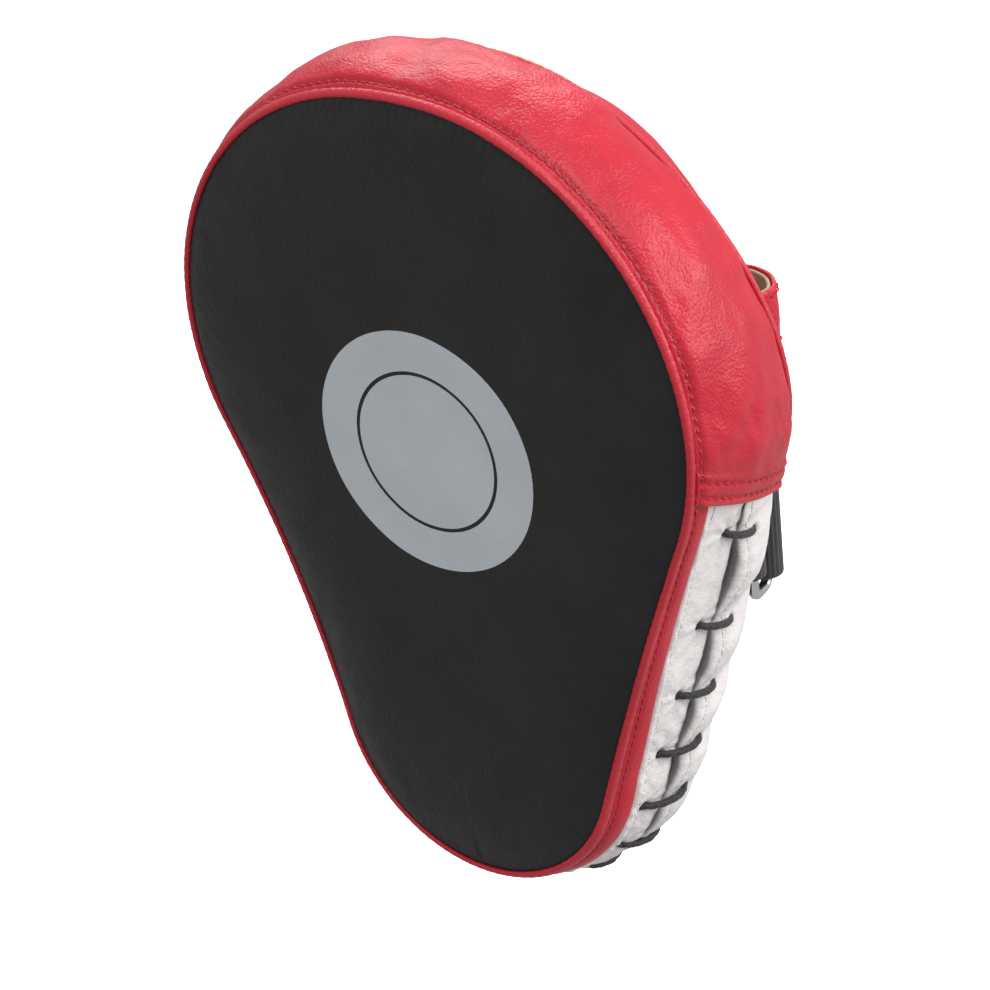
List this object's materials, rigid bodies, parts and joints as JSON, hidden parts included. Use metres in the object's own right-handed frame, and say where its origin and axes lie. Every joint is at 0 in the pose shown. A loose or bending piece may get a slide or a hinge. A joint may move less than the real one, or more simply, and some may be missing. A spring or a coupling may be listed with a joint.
{
  "type": "boxing focus mitt",
  "caption": "Hand-worn curved boxing focus mitt: crowned black face with a round grey target, red and white laced side wall, finger hood, thumb loop and hand strap.",
  "frame": {"origin": "the hand side of the back panel, in the middle of its length and width, where the palm rests", "axes": "+Z along the fingers towards the tips, -Y the way the punched face looks, +Y towards the wearer's hand, +X to the right of someone facing the target"},
  "size_m": [0.184, 0.1031, 0.2742],
  "materials": {
    "black_leather": "pebbled grain, semi-matte",
    "red_leather": "satin with a fine grain",
    "white_leather": "satin, softly creased",
    "tan_lining": "matt, soft",
    "grey_print": "matt ink film",
    "dark_foam": "matt closed-cell foam",
    "pale_foam": "matt open-cell foam",
    "liner_cloth": "brushed",
    "webbing": "ribbed weave",
    "tape_hook": "fine stiff hooks",
    "tape_loop": "fuzzy loops",
    "cord": "braided",
    "steel_wire": "polished"
  },
  "bodies": {
    "mitt": {"front_panel": "black_leather", "target_disc": "grey_print", "target_ring": "grey_print", "front_piping": "red_leather", "strike_foam": "dark_foam", "core_foam": "pale_foam", "palm_foam": "dark_foam", "foam_wrap": "liner_cloth", "upper_gusset": "red_leather", "lower_red_strip": "red_leather", "front_lace_strip": "white_leather", "back_lace_strip": "white_leather", "lace_cord": "cord", "lace_knot_right": "cord", "lace_knot_left": "cord", "back_panel": "black_leather", "back_piping": "red_leather", "hood_shell": "red_leather", "hood_padding": "dark_foam", "hood_lining": "tan_lining", "hood_binding": "black_leather", "finger_divider_1": "tan_lining", "finger_divider_2": "tan_lining", "finger_divider_3": "tan_lining", "thumb_loop": "red_leather", "thumb_loop_lining": "tan_lining", "palm_grip_foam": "pale_foam", "palm_grip_cover": "liner_cloth", "wrist_pad": "liner_cloth", "hand_strap": "webbing", "loop_patch": "tape_loop", "strap_anchor_patch": "red_leather", "ring_tab": "webbing", "anchor_webbing": "webbing"},
    "ring": {"strap_ring": "steel_wire"},
    "flap": {"strap_flap": "webbing", "hook_patch": "tape_hook", "flap_tip": "red_leather"}
  },
  "joints": [
    {"name": "ring_swing", "type": "hinge", "parent": "mitt", "child": "ring", "pos_m": [0.06103, 0.01035, -0.03], "axis": [0, 0, 1], "range_deg": [-6, 6]},
    {"name": "flap_peel", "type": "hinge", "parent": "mitt", "child": "flap", "pos_m": [0.06296, 0.02412, -0.03], "axis": [0, 0, -1], "range_deg": [0, 140]}
  ]
}
